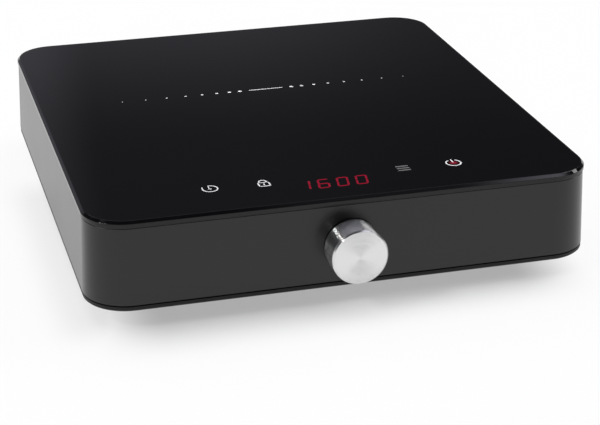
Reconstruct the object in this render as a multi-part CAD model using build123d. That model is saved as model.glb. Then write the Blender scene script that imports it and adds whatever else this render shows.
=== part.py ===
from build123d import *
import os
from math import cos, radians, sin, tan

# Portable induction cooktop: a bevelled black glass plate bonded to a drafted, moulded housing,
# a stepped base tray on rubber feet, and one turning knob in the middle of the front wall.
# Millimetres, +Z up, the front with the knob towards -Y. The pieces are laid out about the
# middle of the glass, and frame_shift then centres the whole box over the origin on the floor.

# Glass plate and its bonding bead
glass_width = 300.0
glass_depth = 325.0
glass_thickness = 4.0
glass_corner = 25.0
glass_bevel = 1.6
glass_under_bevel = 0.3
glass_overhang = 0.5
seal_height = 0.5
seal_width = 8.0
seal_inset = 0.15

# Housing
body_height = 45.9
body_draft = 2.0
body_wall = 2.5
body_top_bevel = 0.3
ledge_width = 13.0
ledge_thickness = 3.0
ledge_skin = 0.6
boss_radius = 4.0
boss_inset = 9.5
boss_pilot = 2.6
boss_pilot_depth = 14.0
boss_rib = 2.0
side_boss_spread = 85.0
end_boss_spread = 118.0

# Base tray and feet
parting_gap = 0.9
rim_height = 2.7
rim_step = 0.2
rim_bevel = 0.8
tongue_height = 5.0
tongue_wall = 1.8
tray_clearance = 0.3
pan_inset = 21.0
pan_drop = 9.3
pan_draft = 10.0
pan_wall = 2.0
pan_corner = 12.0
pan_bevel = 1.5
foot_height = 1.7
foot_radius = 8.0
foot_bevel = 0.5
foot_inset = 15.0
foot_stem_radius = 2.5
foot_stem_rise = 1.0

# Knob on its rotary encoder
knob_drop = 29.5
knob_radius = 16.4
knob_reach = 17.6
knob_gap = 0.6
knob_wall = 1.6
knob_face = 2.2
knob_bevel = 0.8
knob_groove = 0.35
knob_groove_back = 0.5
knob_hub_back = 4.0
knob_fit = 0.05
shaft_radius = 3.0
shaft_flat = 1.4
shaft_inset = 1.8
shaft_running_gap = 0.05
encoder_width = 12.0
encoder_height = 13.0
encoder_depth = 7.0
encoder_bush_radius = 4.5
encoder_bush_gap = 0.15
encoder_nut_flats = 13.0
encoder_nut_height = 2.0
encoder_washer_radius = 7.5
encoder_washer_height = 0.5
bush_proud = 0.5
spot_depth = 1.0
spot_gap = 0.6
knob_boss_radius = 12.0
knob_boss_rise = 2.0

# Rear wall: exhaust grille and mains cord gland
grille_width = 130.0
grille_height = 20.0
grille_level = 36.0
grille_gap = 0.3
grille_flange = 3.0
grille_flange_wall = 1.5
grille_seat_gap = 0.1
louvre_width = 3.2
louvre_pitch = 6.0
louvre_margin = 3.0
gland_offset = 88.0
gland_level = 30.0
gland_pad_radius = 10.5
gland_pad_rise = 1.0
gland_radius = 6.5
gland_bore = 3.8
gland_flange_radius = 9.0
gland_flange_height = 2.5
gland_flange_bevel = 0.8
gland_fit = 0.1
gland_nut_height = 3.0
gland_nut_flats = 17.0

# Controls under the front of the glass
keys_from_front = 33.2
key_inner = 42.0
key_outer = 73.2
display_from_front = 25.0
display_length = 52.0
display_depth = 15.0
display_gap = 1.0
display_wall = 1.8
display_well = 1.0
display_figures = 4
pad_radius = 5.0
pad_bore = 2.6
pad_height = 8.0
lamp_size = 2.4
lamp_height = 1.2
control_length = 190.0
control_depth = 35.0
control_from_front = 16.5
circuit_thickness = 1.6
bracket_gap = 0.7
bracket_wall = 1.8
bracket_peg = 2.0
bracket_peg_radius = 2.5
bracket_thickness = 2.0
bracket_reach = 8.0
bracket_corner = 12.0
bracket_window = 24.0

# Induction coil, centred on the cooking zone
coil_back = 30.5
mica_radius = 86.0
mica_hole = 12.0
mica_thickness = 0.5
coil_outer = 84.0
coil_inner = 22.0
coil_thickness = 4.0
former_floor = 2.5
former_rim = 3.0
former_rim_rise = 2.5
former_hub_bore = 12.0
former_spokes = 8
former_spoke_width = 14.0
former_fit = 0.3
ferrite_length = 46.0
ferrite_width = 10.0
ferrite_thickness = 5.0
thermistor_radius = 4.0
thermistor_height = 1.5
plug_neck = 7.0
coil_post_radius = 4.0
coil_post_draft = 1.0
lug_radius = 5.5
lug_out = 4.0
coil_screw_bite = 7.0

# Power board and what stands on it
board_width = 92.0
board_depth = 140.0
board_wall_gap = 6.0
board_forward = 10.0
board_post_rise = 5.0
board_post_radius = 3.5
board_hole_inset = 4.0
sink_width = 40.0
sink_length = 80.0
sink_base = 4.0
sink_fin_height = 18.0
sink_fin = 1.6
sink_fins = 8
device_height = 5.0
transistor_width = 16.0
transistor_length = 21.0
rectifier_width = 30.0
rectifier_length = 20.0
resonant_width = 20.0
resonant_length = 44.0
resonant_height = 24.0
filter_width = 18.0
filter_length = 38.0
filter_height = 22.0
capacitor_round = 1.5
can_bevel = 1.0
choke_outer = 15.0
choke_inner = 7.0
choke_height = 14.0
choke_winding_wall = 1.6
choke_fit = 0.1
choke_arc = 150.0
transformer_width = 20.0
transformer_length = 18.0
transformer_height = 16.0
transformer_limb = 5.0
transformer_core_depth = 9.0
bobbin_fit = 0.1
smoothing_radius = 7.0
smoothing_height = 22.0
fuse_radius = 2.6
fuse_length = 20.0
fuse_cap = 5.0
fuse_cap_wall = 0.4
varistor_radius = 6.0
varistor_thickness = 4.0
terminal_radius = 4.0
terminal_height = 10.0
terminal_spread = 12.0
connector_length = 14.0
connector_width = 6.0
connector_height = 9.0
mains_block_length = 30.0
mains_block_width = 18.0
mains_block_height = 16.0
mains_block_from_back = 20.0
mains_block_bore = 2.6
mains_block_spread = 15.0

# Leads inside the housing
coil_lead_radius = 1.5
coil_lead_level = 42.0
coil_lead_reach = 74.0
control_lead_radius = 2.0
control_lead_level = 28.0
control_lead_back = 6.0
lead_bend = 8.0

# Cooling fan over the intake grille
fan_size = 80.0
fan_height = 20.0
fan_corner = 5.0
fan_bore = 38.2
fan_wall_gap = 6.0
fan_forward = 40.0
fan_hole_spread = 71.5
fan_hole_radius = 2.1
fan_boss_rise = 3.0
fan_boss_radius = 4.0
fan_web = 2.5
fan_strut = 4.0
fan_strut_sink = 1.0
fan_motor_radius = 16.0
fan_running_gap = 1.2
fan_hub_radius = 17.0
fan_hub_wall = 1.5
fan_tip_gap = 1.2
fan_blades = 7
blade_chord_root = 16.0
blade_chord_tip = 24.0
blade_pitch_root = 42.0
blade_pitch_tip = 26.0
blade_camber = 2.0
blade_thickness = 1.2
blade_sink = 1.2
fan_shaft_radius = 1.5
bearing_radius = 3.5
bearing_running_gap = 0.03
intake_radius = 36.0
intake_slot = 3.6
intake_bar = 3.0

# Screws: pan heads with plain shanks
screw_head_radius = 2.8
screw_head_height = 1.6
screw_radius = 1.2
screw_gap = 0.1
screw_play = 0.4

# Length of a cut that has to pass right through a wall
through_cut = 20.0

# Levels, from the floor up
pan_bottom = foot_height
pan_floor = pan_bottom + pan_wall
rim_bottom = pan_bottom + pan_drop
rim_top = rim_bottom + rim_height
body_bottom = rim_top + parting_gap
body_top = body_bottom + body_height
ledge_bottom = body_top - ledge_thickness
glass_bottom = body_top + seal_height
glass_top = glass_bottom + glass_thickness
knob_level = glass_top - knob_drop
coil_top = glass_bottom - mica_thickness
coil_bottom = coil_top - coil_thickness
former_bottom = coil_bottom - former_floor
board_bottom = pan_floor + board_post_rise
board_top = board_bottom + circuit_thickness
device_top = board_top + device_height
control_top = glass_bottom - pad_height
control_bottom = control_top - circuit_thickness
bracket_floor = control_bottom - bracket_peg
fan_bottom = pan_floor + fan_boss_rise
fan_top = fan_bottom + fan_height

# Plan sizes that follow from the glass
draft_slope = tan(radians(body_draft))
body_top_width = glass_width - 2 * glass_overhang
body_top_depth = glass_depth - 2 * glass_overhang
body_top_corner = glass_corner - glass_overhang
draft_spread = body_height * draft_slope
body_base_width = body_top_width + 2 * draft_spread
body_base_depth = body_top_depth + 2 * draft_spread
body_base_corner = body_top_corner + draft_spread
pan_taper = pan_drop * tan(radians(pan_draft))
pan_width = body_base_width - 2 * (pan_inset + pan_taper)
pan_depth = body_base_depth - 2 * (pan_inset + pan_taper)
pan_half_width = pan_width / 2 - pan_wall
pan_half_depth = pan_depth / 2 - pan_wall
glass_front = -glass_depth / 2


def wall_reach(level):
    """Half depth of the drafted housing, outside, at a level."""
    return body_base_depth / 2 - (level - body_bottom) * draft_slope


front_wall = -wall_reach(knob_level)
rear_wall = wall_reach(gland_level)
knob_end = front_wall - knob_reach
gland_end = rear_wall + gland_pad_rise + gland_flange_height
frame_shift = -(knob_end + gland_end) / 2

# Plan places of the inner groups
keys_y = glass_front + keys_from_front
display_y = glass_front + display_from_front
control_y = glass_front + control_from_front + control_depth / 2
board_x = pan_half_width - board_wall_gap - board_width / 2
board_y = -board_forward
fan_x = -(pan_half_width - fan_wall_gap - fan_size / 2)
fan_y = -fan_forward
key_spots = [(x, keys_y) for x in (-key_outer, -key_inner, key_inner, key_outer)]
boss_side_x = body_base_width / 2 - boss_inset
boss_end_y = body_base_depth / 2 - boss_inset
boss_spots = [(sx * boss_side_x, sy * side_boss_spread) for sx in (-1, 1) for sy in (-1, 1)]
boss_spots += [(sx * end_boss_spread, sy * boss_end_y) for sx in (-1, 1) for sy in (-1, 1)]
foot_x = pan_width / 2 - foot_inset
foot_y = pan_depth / 2 - foot_inset
foot_spots = [(sx * foot_x, sy * foot_y) for sx in (-1, 1) for sy in (-1, 1)]
centre = (0, coil_back)
coil_post_angles = (30, 150, 270)
former_outer = coil_outer + former_fit + former_rim
coil_post_circle = former_outer + lug_out
coil_post_spots = [
    (coil_post_circle * cos(radians(a)), coil_back + coil_post_circle * sin(radians(a)))
    for a in coil_post_angles
]
board_hole_x = board_width / 2 - board_hole_inset
board_hole_y = board_depth / 2 - board_hole_inset
board_holes = [
    (board_x + sx * board_hole_x, board_y + sy * board_hole_y) for sx in (-1, 1) for sy in (-1, 1)
]
fan_holes = [
    (fan_x + sx * fan_hole_spread / 2, fan_y + sy * fan_hole_spread / 2)
    for sx in (-1, 1)
    for sy in (-1, 1)
]
control_hole_x = control_length / 2 - board_hole_inset
control_hole_y = control_depth / 2 - board_hole_inset
control_holes = [
    (sx * control_hole_x, control_y + sy * control_hole_y) for sx in (-1, 1) for sy in (-1, 1)
]
bracket_length = control_length + 2 * (bracket_gap + bracket_wall)
bracket_depth = control_depth + 2 * (bracket_gap + bracket_wall)
bracket_end = body_top_width / 2 - ledge_width + bracket_reach
bracket_holes = [
    (sx * (bracket_end - bracket_reach / 2), control_y + sy * control_hole_y)
    for sx in (-1, 1)
    for sy in (-1, 1)
]

# Places on the power board, from its middle
sink_spot = (-23.0, -18.0)
transistor_spot = (-23.0, -36.0)
rectifier_spot = (-23.0, 0.0)
resonant_spot = (13.0, -40.0)
filter_spot = (35.0, -40.0)
choke_spot = (24.0, 0.0)
terminal_spot = (28.0, 30.0)
transformer_spot = (-28.0, 40.0)
smoothing_spot = (-6.0, 40.0)
fuse_spot = (18.0, 56.0)
varistor_spot = (38.0, 54.0)
connector_spot = (-27.0, -65.0)

STAND = (Align.CENTER, Align.CENTER, Align.MIN)
ALONG_Y = Rot(-90, 0, 0)
ALONG_X = Rot(0, 90, 0)


def post(radius, base, top, spot=(0, 0)):
    """Upright cylinder between two levels."""
    return Pos(spot[0], spot[1], base) * Cylinder(radius, top - base, align=STAND)


def axle(radius, start, end, x, level):
    """Cylinder that lies along Y from start to end."""
    return Pos(x, start, level) * ALONG_Y * Cylinder(radius, end - start, align=STAND)


def ring(outer, inner, base, top, spot=(0, 0)):
    """Upright tube between two levels."""
    return post(outer, base, top, spot) - post(inner, base, top, spot)


def slab(width, depth, base, top, spot=(0, 0)):
    """Upright block between two levels."""
    return Pos(spot[0], spot[1], base) * Box(width, depth, top - base, align=STAND)


def rounded(width, depth, corner, base, top, taper=0.0, spot=(0, 0)):
    """Upright block with round plan corners, its walls leaning in by the taper angle."""
    plan = RectangleRounded(width, depth, corner)
    return Pos(spot[0], spot[1], base) * extrude(plan, top - base, taper=taper)


def on_board(spot):
    """Plan place of a component, from its place on the power board."""
    return (board_x + spot[0], board_y + spot[1])


def screws_down(spots, seat, end):
    """Screws driven down: heads standing on the seat, shanks reaching the end level."""
    head_top = seat + screw_head_height
    return Compound(
        [
            post(screw_head_radius, seat, head_top, s) + post(screw_radius, end, head_top, s)
            for s in spots
        ]
    )


def screws_up(spots, seat, end):
    """Screws driven up: heads hanging under the seat, shanks reaching the end level."""
    head_bottom = seat - screw_head_height
    return Compound(
        [
            post(screw_head_radius, head_bottom, seat, s) + post(screw_radius, head_bottom, end, s)
            for s in spots
        ]
    )


def drill(solid, spots, radius, base, top):
    """Cuts an upright round hole at each place."""
    for spot in spots:
        solid -= post(radius, base, top, spot)
    return solid


def hexagon(flats, height):
    """Six-sided nut blank, standing."""
    return extrude(RegularPolygon(flats / 2, 6, major_radius=False), height)


# Glass and housing


def glass_top_plate():
    plate = rounded(glass_width, glass_depth, glass_corner, glass_bottom, glass_top)
    plate = chamfer(plate.faces().sort_by(Axis.Z)[-1].edges(), glass_bevel)
    return chamfer(plate.faces().sort_by(Axis.Z)[0].edges(), glass_under_bevel)


def glass_seal_bead():
    width = body_top_width - 2 * seal_inset
    depth = body_top_depth - 2 * seal_inset
    corner = body_top_corner - seal_inset
    bead = rounded(width, depth, corner, body_top, glass_bottom)
    hole_width = width - 2 * seal_width
    hole_depth = depth - 2 * seal_width
    return bead - rounded(hole_width, hole_depth, corner - seal_width, body_top, glass_bottom)


def housing_wall(inner_offset, outer_offset, top):
    """Drafted skin of the housing between two offsets in from the outside, up to a level."""

    def block(inward):
        width = body_base_width - 2 * inward
        depth = body_base_depth - 2 * inward
        return rounded(width, depth, body_base_corner - inward, body_bottom, top, body_draft)

    return block(outer_offset) - block(inner_offset)


def housing_bosses():
    """Screw pillars under the ledge, each tied to the wall by a rib."""
    rib_bottom = rim_top + tongue_height + parting_gap
    rib_out_x = body_top_width / 2 - body_wall / 2
    rib_out_y = body_top_depth / 2 - body_wall / 2
    pillars = []
    for x, y in boss_spots:
        pillars.append(post(boss_radius, rim_top, ledge_bottom, (x, y)))
        if abs(x) == boss_side_x:
            length = rib_out_x - abs(x)
            middle = (x + (length / 2 if x > 0 else -length / 2), y)
            pillars.append(slab(length, boss_rib, rib_bottom, ledge_bottom, middle))
        else:
            length = rib_out_y - abs(y)
            middle = (x, y + (length / 2 if y > 0 else -length / 2))
            pillars.append(slab(boss_rib, length, rib_bottom, ledge_bottom, middle))
    return pillars


def knob_seat(shell):
    """Flat inner boss, outer spot face and bush hole for the encoder in the front wall."""
    shell += axle(
        knob_boss_radius, front_wall + spot_depth, front_wall + body_wall + knob_boss_rise, 0, knob_level
    )
    spot_radius = encoder_washer_radius + spot_gap
    outside = front_wall - through_cut
    shell -= axle(spot_radius, outside, front_wall + spot_depth, 0, knob_level)
    bush_hole = encoder_bush_radius + encoder_bush_gap
    return shell - axle(bush_hole, outside, front_wall + through_cut, 0, knob_level)


def rear_openings(shell):
    """Window for the exhaust grille, and a flat pad with a hole for the cord gland."""
    opening_width = grille_width + 2 * grille_gap
    opening_height = grille_height + 2 * grille_gap
    shell -= Pos(0, body_base_depth / 2, grille_level) * Box(opening_width, through_cut, opening_height)
    pad_start = rear_wall - body_wall - gland_pad_rise
    shell += axle(gland_pad_radius, pad_start, rear_wall + gland_pad_rise, -gland_offset, gland_level)
    hole = gland_radius + gland_fit
    return shell - axle(hole, pad_start, rear_wall + gland_pad_rise, -gland_offset, gland_level)


def body_shell():
    outer = housing_wall(body_wall, 0, ledge_bottom)
    cap_inset = (ledge_bottom - body_bottom) * draft_slope
    cap = rounded(
        body_base_width - 2 * cap_inset,
        body_base_depth - 2 * cap_inset,
        body_base_corner - cap_inset,
        ledge_bottom,
        body_top,
        body_draft,
    )
    cap = chamfer(cap.faces().sort_by(Axis.Z)[-1].edges(), body_top_bevel)
    opening = rounded(
        body_top_width - 2 * ledge_width,
        body_top_depth - 2 * ledge_width,
        body_top_corner - ledge_width,
        ledge_bottom,
        body_top,
    )
    shell = outer + (cap - opening)
    for pillar in housing_bosses():
        shell += pillar
    shell = knob_seat(shell)
    shell = rear_openings(shell)
    shell = drill(shell, boss_spots, boss_pilot / 2, rim_top, rim_top + boss_pilot_depth)
    bracket_pilot = screw_radius + screw_gap
    return drill(shell, bracket_holes, bracket_pilot, ledge_bottom, body_top - ledge_skin)


def rear_grille():
    """Exhaust grille: a plug in the rear window with upright louvres and a flange behind."""
    window = Pos(0, body_base_depth / 2, grille_level)
    plug = housing_wall(body_wall + grille_seat_gap, 0, ledge_bottom) & (
        window * Box(grille_width, through_cut, grille_height)
    )
    flange_inner = body_wall + grille_seat_gap + grille_flange_wall
    flange_width = grille_width + 2 * grille_flange
    flange_height = grille_height + 2 * grille_flange
    flange = housing_wall(flange_inner, body_wall + grille_seat_gap, ledge_bottom) & (
        window * Box(flange_width, through_cut, flange_height)
    )
    panel = plug + flange
    louvres = int((grille_width - 2 * louvre_margin) / louvre_pitch)
    slot = Box(louvre_width, through_cut, grille_height - 2 * louvre_margin)
    for i in range(louvres):
        panel -= Pos((i - (louvres - 1) / 2) * louvre_pitch, 0, 0) * window * slot
    return panel


# Base tray and feet


def pan_block(inward, base, top):
    """Block that fits the stepped pan, its walls spreading upwards by the pan's draft."""
    spread = (base - pan_bottom) * tan(radians(pan_draft))
    width = pan_width + 2 * (spread - inward)
    depth = pan_depth + 2 * (spread - inward)
    return rounded(width, depth, pan_corner + spread - inward, base, top, -pan_draft)


def intake_slots():
    """Straight slots clipped to a circle, which make the grille under the fan."""
    pitch = intake_slot + intake_bar
    rows = int(2 * intake_radius / pitch)
    disc = post(intake_radius, pan_bottom, pan_floor, (fan_x, fan_y))
    slots = []
    for i in range(rows):
        y = fan_y + (i - (rows - 1) / 2) * pitch
        slots.append(slab(2 * intake_radius, intake_slot, pan_bottom, pan_floor, (fan_x, y)) & disc)
    return slots


def coil_posts():
    """Tall tapered pillars on the pan floor that carry the coil former."""
    height = former_bottom - pan_floor
    foot = coil_post_radius + height * tan(radians(coil_post_draft))
    return [
        Pos(x, y, pan_floor) * Cone(foot, coil_post_radius, height, align=STAND)
        for x, y in coil_post_spots
    ]


def base_tray():
    rim_corner = body_base_corner - rim_step
    flange = rounded(
        body_base_width - 2 * rim_step, body_base_depth - 2 * rim_step, rim_corner, rim_bottom, rim_top
    )
    flange = chamfer(flange.faces().sort_by(Axis.Z)[0].edges(), rim_bevel)
    pan = pan_block(0, pan_bottom, rim_top)
    pan = chamfer(pan.faces().sort_by(Axis.Z)[0].edges(), pan_bevel)
    inset = body_wall + tray_clearance
    tongue_top = rim_top + tongue_height

    def tongue_block(inward):
        width = body_base_width - 2 * inward
        depth = body_base_depth - 2 * inward
        return rounded(width, depth, body_base_corner - inward, rim_top, tongue_top, body_draft)

    tray = flange + pan + (tongue_block(inset) - tongue_block(inset + tongue_wall))
    tray -= pan_block(pan_wall, pan_floor, tongue_top)
    for spot in board_holes:
        tray += post(board_post_radius, pan_floor, board_bottom, spot)
    for spot in fan_holes:
        tray += post(fan_boss_radius, pan_floor, fan_bottom, spot)
    for pillar in coil_posts():
        tray += pillar
    for slot in intake_slots():
        tray -= slot
    pilot = screw_radius + screw_gap
    tray = drill(tray, board_holes, pilot, pan_floor, board_bottom)
    tray = drill(tray, fan_holes, pilot, pan_floor, fan_bottom)
    tray = drill(tray, coil_post_spots, pilot, former_bottom - boss_pilot_depth, former_bottom)
    tray = drill(tray, boss_spots, screw_radius + screw_play, rim_bottom, rim_top)
    return drill(tray, foot_spots, foot_stem_radius + screw_gap, pan_bottom, pan_floor)


def rubber_feet():
    pad = chamfer(Cylinder(foot_radius, foot_height, align=STAND).edges().sort_by(Axis.Z)[0], foot_bevel)
    foot = pad + post(foot_stem_radius, 0, pan_floor + foot_stem_rise)
    return Compound([Pos(x, y, 0) * foot for x, y in foot_spots])


# Knob and encoder, along the knob's axis


def knob_axle(radius, inner, outer):
    """Cylinder on the knob's axis, between two distances out from the front wall."""
    return axle(radius, front_wall - outer, front_wall - inner, 0, knob_level)


def flatted(radius, flat, inner, outer):
    """Cylinder on the knob's axis with a flat along its top, as deep as stated."""
    cut = Pos(0, front_wall - (inner + outer) / 2, knob_level + 2 * radius - flat)
    return knob_axle(radius, inner, outer) - cut * Box(4 * radius, outer - inner, 2 * radius)


def knob_cap():
    """Turned cup: bevelled face, with a fine groove where the bevel meets the side."""
    bevel_start = knob_reach - knob_bevel
    groove_start = bevel_start - knob_groove_back
    cap = knob_axle(knob_radius, knob_gap, knob_reach)
    cap = chamfer(cap.faces().sort_by(Axis.Y)[0].edges(), knob_bevel)
    band = knob_axle(2 * knob_radius, groove_start, bevel_start)
    cap -= band - knob_axle(knob_radius - knob_groove, groove_start, bevel_start)
    return cap - knob_axle(knob_radius - knob_wall, knob_gap, knob_reach - knob_face)


def knob_insert():
    hub = knob_axle(knob_radius - knob_wall - knob_fit, knob_hub_back, knob_reach - knob_face)
    socket_end = knob_reach - knob_face - shaft_inset
    return hub - flatted(shaft_radius + knob_fit, shaft_flat, knob_hub_back, socket_end)


bush_end = encoder_washer_height + encoder_nut_height + bush_proud - spot_depth
encoder_seat = -(body_wall + knob_boss_rise)


def encoder_shaft():
    tip = knob_reach - knob_face - shaft_inset - knob_fit
    inner = encoder_seat - encoder_depth / 2
    return knob_axle(shaft_radius, inner, knob_hub_back) + flatted(
        shaft_radius, shaft_flat + knob_fit, knob_hub_back, tip
    )


def encoder_body():
    """Encoder can behind the wall, with its bush through the hole."""
    middle = front_wall - encoder_seat + encoder_depth / 2
    can = Pos(0, middle, knob_level) * Box(encoder_width, encoder_depth, encoder_height)
    can += knob_axle(encoder_bush_radius, encoder_seat, bush_end)
    pocket = encoder_seat - encoder_depth / 2 - shaft_running_gap
    return can - knob_axle(shaft_radius + shaft_running_gap, pocket, bush_end)


def encoder_washer():
    seat = -spot_depth
    washer = knob_axle(encoder_washer_radius, seat, seat + encoder_washer_height)
    return washer - knob_axle(encoder_bush_radius + encoder_bush_gap, seat, seat + encoder_washer_height)


def encoder_nut():
    seat = encoder_washer_height - spot_depth
    top = seat + encoder_nut_height
    nut = Pos(0, front_wall - top, knob_level) * ALONG_Y * hexagon(encoder_nut_flats, encoder_nut_height)
    return nut - knob_axle(encoder_bush_radius + encoder_bush_gap, seat, top)


# Rear cord gland


def gland_axle(radius, start, end):
    """Cylinder on the gland's axis, between two places along Y."""
    return axle(radius, start, end, -gland_offset, gland_level)


gland_seat_out = rear_wall + gland_pad_rise
gland_seat_in = rear_wall - body_wall - gland_pad_rise
gland_inner_end = gland_seat_in - gland_nut_height


def cord_gland():
    flange = gland_axle(gland_flange_radius, gland_seat_out, gland_end)
    flange = chamfer(flange.faces().sort_by(Axis.Y)[-1].edges(), gland_flange_bevel)
    bush = flange + gland_axle(gland_radius, gland_inner_end, gland_seat_out)
    return bush - gland_axle(gland_bore, gland_inner_end, gland_end)


def gland_nut():
    nut = Pos(-gland_offset, gland_inner_end, gland_level) * ALONG_Y
    blank = nut * hexagon(gland_nut_flats, gland_nut_height)
    return blank - gland_axle(gland_radius + gland_fit, gland_inner_end, gland_seat_in)


# Controls


def control_bracket():
    """Tub for the control board, on a plate that hangs from the housing's side ledges."""
    plate_bottom = ledge_bottom - bracket_thickness
    tub_bottom = bracket_floor - bracket_wall
    place = (0, control_y)
    bracket = rounded(
        2 * bracket_end, bracket_depth, bracket_corner, plate_bottom, ledge_bottom, spot=place
    )
    bracket += slab(bracket_length, bracket_depth, tub_bottom, ledge_bottom, place)
    hollow_length = bracket_length - 2 * bracket_wall
    hollow_depth = bracket_depth - 2 * bracket_wall
    bracket -= slab(hollow_length, hollow_depth, bracket_floor, ledge_bottom, place)
    for spot in control_holes:
        bracket += post(bracket_peg_radius, bracket_floor, control_bottom, spot)
    window = slab(
        bracket_window, bracket_window, tub_bottom, bracket_floor, (on_board(connector_spot)[0], control_y)
    )
    bracket -= window
    bracket = drill(bracket, control_holes, screw_radius + screw_gap, bracket_floor, control_bottom)
    return drill(bracket, bracket_holes, screw_radius + screw_play, plate_bottom, ledge_bottom)


def control_board():
    board = slab(control_length, control_depth, control_bottom, control_top, (0, control_y))
    return drill(board, control_holes, screw_radius + screw_play, control_bottom, control_top)


def display_module():
    """Four-figure display block with a shallow light well for each figure."""
    top = glass_bottom - display_gap
    block = slab(display_length, display_depth, control_top, top, (0, display_y))
    pitch = display_length / display_figures
    well_length = pitch - 2 * display_wall
    well_depth = display_depth - 2 * display_wall
    for i in range(display_figures):
        x = (i - (display_figures - 1) / 2) * pitch
        block -= slab(well_length, well_depth, top - display_well, top, (x, display_y))
    return block


def touch_pads():
    return Compound([ring(pad_radius, pad_bore, control_top, glass_bottom, s) for s in key_spots])


def key_lamps():
    top = control_top + lamp_height
    return Compound([slab(lamp_size, lamp_size, control_top, top, s) for s in key_spots])


# Induction coil


def spoke_angles():
    step = 360 / former_spokes
    return [step * (i + 0.5) for i in range(former_spokes)]


def coil_former():
    """Moulded spider: hub, spokes and rim that hold the flat winding, with three fixing lugs."""
    collar_top = coil_bottom + former_rim_rise
    rim_inner = former_outer - former_rim
    spoke_end = former_outer - former_rim / 2
    spoke = slab(spoke_end, former_spoke_width, former_bottom, coil_bottom, (spoke_end / 2, 0))
    former = ring(former_outer, rim_inner, former_bottom, collar_top)
    for angle in spoke_angles():
        former += Rot(0, 0, angle) * spoke
    former += post(coil_inner + former_rim, former_bottom, coil_bottom)
    former += post(coil_inner - former_fit, former_bottom, collar_top)
    former -= post(former_hub_bore, former_bottom, collar_top)
    former = Pos(0, coil_back, 0) * former
    for spot in coil_post_spots:
        former += post(lug_radius, former_bottom, coil_bottom, spot)
    return drill(former, coil_post_spots, screw_radius + screw_play, former_bottom, coil_bottom)


def ferrite_bars():
    bar = slab(ferrite_length, ferrite_width, former_bottom - ferrite_thickness, former_bottom)
    middle = (coil_outer + coil_inner) / 2
    return Compound(
        [Pos(0, coil_back, 0) * Rot(0, 0, a) * Pos(middle, 0, 0) * bar for a in spoke_angles()]
    )


def thermistor_plug():
    """Rubber plug in the hub that presses the thermistor to the glass."""
    top = glass_bottom - thermistor_height
    plug = post(former_hub_bore - former_fit, former_bottom, coil_bottom, centre)
    return plug + post(plug_neck, coil_bottom, top, centre)


# Power board components


def power_board():
    board = slab(board_width, board_depth, board_bottom, board_top, (board_x, board_y))
    return drill(board, board_holes, screw_radius + screw_play, board_bottom, board_top)


def heat_sink():
    """Extruded comb of upright fins on a flat base, lying on the power devices."""
    comb = Rectangle(sink_width, sink_base, align=(Align.CENTER, Align.MIN))
    pitch = (sink_width - sink_fin) / (sink_fins - 1)
    for i in range(sink_fins):
        x = (i - (sink_fins - 1) / 2) * pitch
        fin = Rectangle(sink_fin, sink_base + sink_fin_height, align=(Align.CENTER, Align.MIN))
        comb += Pos(x, 0) * fin
    x, y = on_board(sink_spot)
    return Pos(x, y + sink_length / 2, device_top) * extrude(Plane.XZ * comb, sink_length)


def power_device(width, length, spot):
    return slab(width, length, board_top, device_top, on_board(spot))


def film_capacitor(width, length, height, spot):
    box = slab(width, length, board_top, board_top + height, on_board(spot))
    return fillet(box.edges().filter_by(Axis.Z), capacitor_round)


def choke_section(wall):
    """Half section of the choke ring, grown by a wall on every side."""
    width = choke_outer - choke_inner - 2 * choke_winding_wall + 2 * wall
    height = choke_height - 2 * choke_winding_wall + 2 * wall
    middle = (choke_outer + choke_inner) / 2
    return Plane.XZ * Pos(middle, choke_height / 2) * Rectangle(width, height)


def choke_core():
    x, y = on_board(choke_spot)
    return Pos(x, y, board_top) * revolve(choke_section(0), Axis.Z)


def choke_winding():
    """Two banks of wire wrapped round the ring core, with a gap between them."""
    x, y = on_board(choke_spot)
    profile = choke_section(choke_winding_wall) - choke_section(choke_fit)
    bank = revolve(profile, Axis.Z, choke_arc)
    return Compound([Pos(x, y, board_top) * Rot(0, 0, turn) * bank for turn in (0, 180)])


def transformer_core():
    """Closed frame core, upright, with its window along Y."""
    x, y = on_board(transformer_spot)
    frame = Rectangle(transformer_width, transformer_height) - Rectangle(
        transformer_width - 2 * transformer_limb, transformer_height - 2 * transformer_limb
    )
    place = Pos(x, y + transformer_core_depth / 2, board_top + transformer_height / 2)
    return place * extrude(Plane.XZ * frame, transformer_core_depth)


def transformer_bobbin():
    """Wound bobbin through the core's window, with its flanges at both ends."""
    x, y = on_board(transformer_spot)
    middle = Pos(x, y, board_top + transformer_height / 2)
    window_width = transformer_width - 2 * transformer_limb - 2 * bobbin_fit
    window_height = transformer_height - 2 * transformer_limb - 2 * bobbin_fit
    spool = middle * Box(window_width, transformer_length, window_height)
    end_depth = (transformer_length - transformer_core_depth) / 2 - bobbin_fit
    for side in (-1, 1):
        shift = side * (transformer_length - end_depth) / 2
        spool += middle * Pos(0, shift, 0) * Box(transformer_width, end_depth, transformer_height)
    return spool


def smoothing_capacitor():
    can = post(smoothing_radius, board_top, board_top + smoothing_height, on_board(smoothing_spot))
    return chamfer(can.edges().sort_by(Axis.Z)[-1], can_bevel)


def fuse():
    """Glass tube with a wider metal cap at each end."""
    x, y = on_board(fuse_spot)
    level = board_top + fuse_radius + fuse_cap_wall
    middle = Pos(x, y, level) * ALONG_X
    tube = middle * Cylinder(fuse_radius, fuse_length)
    for side in (-1, 1):
        shift = side * (fuse_length - fuse_cap) / 2
        tube += middle * Pos(0, 0, shift) * Cylinder(fuse_radius + fuse_cap_wall, fuse_cap)
    return tube


def varistor():
    x, y = on_board(varistor_spot)
    disc = Pos(x, y, board_top + varistor_radius) * ALONG_X
    return disc * Cylinder(varistor_radius, varistor_thickness)


terminal_x = on_board(terminal_spot)[0]
terminal_ys = [on_board(terminal_spot)[1] + side * terminal_spread / 2 for side in (-1, 1)]


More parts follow.
